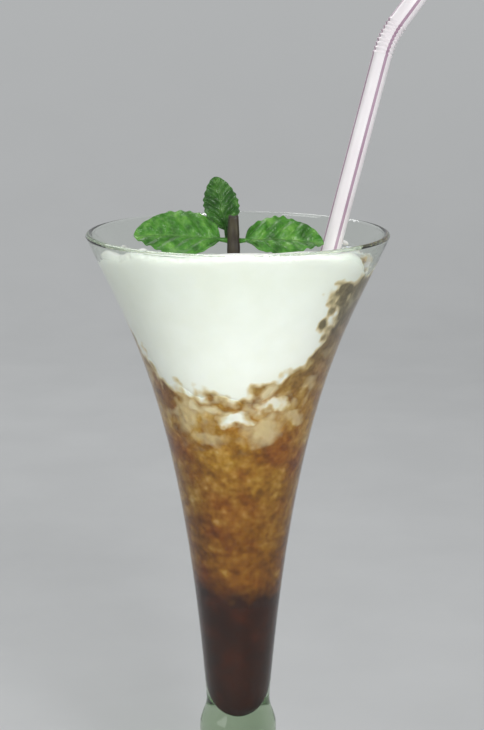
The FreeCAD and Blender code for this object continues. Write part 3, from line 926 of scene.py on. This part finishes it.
# %% Stalk form
# How wide it is from ring to ring, in proportion: it swells where leaves part.
WIDTHS = [1.12, 1.10, 1.06, 1.02, 0.98, 0.96, 1.0, 1.06, 1.0, 0.95, 0.92, 0.88, 0.78]
RING_STEP = 2 * MM
STALK_LENGTH = (len(WIDTHS) - 1) * RING_STEP
CUT_DIP = 0.3 * MM
bpy.ops.mesh.primitive_circle_add(vertices=24, radius=0.6 * STALK_SIDE,
                                  location=STALK - Vector((0, 0, STALK_LENGTH)))
stalk = bpy.context.active_object
stalk.name = "mint_stalk_cut"
settle(stalk)
edit(stalk)
for below, width in zip(WIDTHS, WIDTHS[1:]):
    bpy.ops.mesh.extrude_region_move(TRANSFORM_OT_translate={"value": (0, 0, RING_STEP)})
    bpy.ops.transform.resize(value=(width / below, width / below, 1), center_override=STALK)
bpy.ops.mesh.extrude_region_move(TRANSFORM_OT_translate={"value": (0, 0, -CUT_DIP)})
bpy.ops.transform.resize(value=(0.8, 0.8, 1), center_override=STALK)
bpy.ops.mesh.edge_face_add()
bpy.ops.mesh.inset(thickness=0.5 * MM)
reselect(stalk, lambda v: v.co.z < STALK.z - STALK_LENGTH + 0.1 * MM)
bpy.ops.mesh.edge_face_add()
bpy.ops.mesh.select_all(action="SELECT")
bpy.ops.mesh.normals_make_consistent(inside=False)
done()
print("the stalk is", round(STALK_LENGTH / MM), "mm long, in", len(WIDTHS), "rings")


# %% Grooves of the stalk
def groove(vertex):
    """1 in the middle of each flat side, 0 at the corners."""
    angle = math.atan2(vertex.co.y - STALK.y, vertex.co.x - STALK.x)
    return (1 + math.cos(4 * angle)) / 2


GROOVE_DEPTH = 0.42 * MM
grooves = weigh(stalk, "grooves", groove)
modify(stalk, "DISPLACE", strength=-GROOVE_DEPTH, mid_level=0.0, vertex_group=grooves)
modify(stalk, "SUBSURF", levels=1, render_levels=1)
knots = bpy.data.textures.new("knots", "CLOUDS")
knots.noise_scale = 2.5 * MM
modify(stalk, "DISPLACE", texture=knots, texture_coords="LOCAL", strength=0.3 * MM,
       mid_level=0.5)
bpy.ops.object.shade_smooth()
print("the stalk measures", [round(side / MM, 1) for side in stalk.dimensions], "mm")

# %% Stalk skin
# A cut mint stalk is woody and fibrous, darkest in its grooves, with little shine.
# Its near-black browns are partly its own colour and partly painted shade, the shade where the
# leaves part.
stalk_material = new_material("mint_stalk_skin_and_shade")
tree = stalk_material.node_tree
place = add(tree, "TexCoord", give="Object")
long_way = add(tree, "Mapping", {"Vector": place, "Scale": (1, 1, 0.25)})
fibres = add(tree, "TexNoise", {"Vector": long_way, "Scale": per(1.6), "Detail": 3.0})
bark_and_shade = add(tree, "ValToRGB", [fibres], stops=[
    (0.3, "#1E170D"), (0.5, "#2D2415"), (0.72, "#423D24")])
ridges = add(tree, "Bump", {"Height": fibres, "Strength": 0.4, "Distance": 0.3 * MM})
woody = add(tree, "BsdfPrincipled", {
    "Base Color": bark_and_shade, "Roughness": 0.5, "Sheen Weight": 0.1, "Normal": ridges})
add(tree, "OutputMaterial", {"Surface": woody})
dress(stalk, stalk_material, "stalk", "mint_stalk")

# %% [markdown]
# ## Floor, light and camera
# A pale grey sweep runs under the glass and curves up behind it. Clear glass shows what
# stands round it, so the sweep goes on far enough to fill all that it refracts. The key
# and fill lamps stand near the viewer, as a round white cream needs light that falls off
# to its sides, and a back lamp lights the rims and the leaves.

# %% Form of the sweep
# Sizes in metres: the room is far larger than the glass.
SWEEP_WIDTH, SWEEP_DEPTH, SWEEP_HEIGHT = 8.0, 4.6, 2.6
TO_VIEWER = 0.9
CURVE_RADIUS = 0.7
bpy.ops.mesh.primitive_plane_add(size=1.0, location=(0, 0, 0))
floor = bpy.context.active_object
floor.name = "pale_sweep"
edit(floor)
bpy.ops.transform.resize(value=(SWEEP_WIDTH, SWEEP_DEPTH, 1.0))
bpy.ops.transform.translate(value=(0, -TO_VIEWER, 0))
reselect(floor, lambda v: v.co.y > 0)
bpy.ops.mesh.extrude_region_move(TRANSFORM_OT_translate={"value": (0, 0.2, SWEEP_HEIGHT)})
done()
modify(floor, "BEVEL", width=CURVE_RADIUS, segments=16, limit_method="ANGLE",
       angle_limit=math.radians(30))
pick(floor)
bpy.ops.object.shade_smooth()
print("the sweep is", SWEEP_WIDTH, "m wide and", SWEEP_HEIGHT, "m high")

# %% Paper of the sweep
FAR_GREY = "#B4B6B7"


def seen_ray(tree):
    """1 for a ray that shows the backdrop: straight, through glass or in a reflection."""
    seen = 0.0
    for ray in ("Is Camera Ray", "Is Transmission Ray", "Is Glossy Ray"):
        seen = add(tree, "Math", [add(tree, "LightPath", give=ray), seen], operation="MAXIMUM")
    return seen


sweep = new_material("pale_grey_paper")
tree = sweep.node_tree
place = add(tree, "TexCoord", give="Object")
cloudy = add(tree, "TexNoise", {"Vector": place, "Scale": per(60.0), "Detail": 4.0})
paper = add(tree, "ValToRGB", [cloudy], stops=[(0.35, "#D3D5D6"), (0.65, "#D7D9DA")])
# Far from the lamps the paper would look dark, so there it is seen as an even pale grey.
apart = add(tree, "VectorMath", [place], "Value", operation="LENGTH")
far = add(tree, "MapRange", [apart, 0.5, 1.5], interpolation_type="SMOOTHSTEP")
shown = add(tree, "Math", [far, seen_ray(tree)], operation="MULTIPLY")
even = add(tree, "Emission", [FAR_GREY, 1.0])
matt = add(tree, "BsdfDiffuse", [paper])
add(tree, "OutputMaterial", {"Surface": add(tree, "MixShader", [shown, matt, even])})
floor.data.materials.append(sweep)
print(floor.name, "is of", sweep.name)

# %% World and lamps
world = bpy.data.worlds.new("studio")
bpy.context.scene.world = world
world.use_nodes = True
tree = world.node_tree
tree.nodes.clear()
soft = add(tree, "Background", ["#FFFFFF", 0.26])
pale = add(tree, "Background", [FAR_GREY, 1.0])
add(tree, "OutputWorld", {"Surface": add(tree, "MixShader", [seen_ray(tree), soft, pale])})


def softbox(name, place, size, watts, aim=(0, 0, 0.12)):
    """A square area lamp that faces a point on the glass; in metres."""
    light = bpy.data.lights.new(name, "AREA")
    light.energy = watts
    light.size = size
    lamp = bpy.data.objects.new(name, light)
    lamp.location = place
    facing = Vector(aim) - Vector(place)
    lamp.rotation_euler = facing.to_track_quat("-Z", "Y").to_euler()
    bpy.context.scene.collection.objects.link(lamp)
    print(name, "softbox,", size, "m wide, stands", round(facing.length, 2), "m away")


softbox("key", (0.30, -0.85, 0.55), 0.40, 5.7)
softbox("fill", (-0.80, -0.60, 0.45), 0.60, 2.2)
softbox("back", (-0.30, 0.60, 0.90), 0.60, 3.4)

# %% Camera
# A long lens from a little over the rim, near enough to fill the picture's height.
LENS = 94.93
LOOK_DOWN = 12.37
VIEWPOINT = (1.2 * MM, -550 * MM, RIM + 81.2 * MM)
camera_data = bpy.data.cameras.new("camera")
camera_data.sensor_width = 36
camera_data.lens = LENS
camera_data.clip_start = 0.01
camera = bpy.data.objects.new("camera", camera_data)
camera.location = VIEWPOINT
camera.rotation_euler = (math.radians(90 - LOOK_DOWN), 0, 0)
bpy.context.scene.collection.objects.link(camera)
bpy.context.scene.camera = camera
bpy.context.scene.view_settings.view_transform = "Standard"
print("a", round(LENS), "mm lens looks down by", LOOK_DOWN, "degrees")
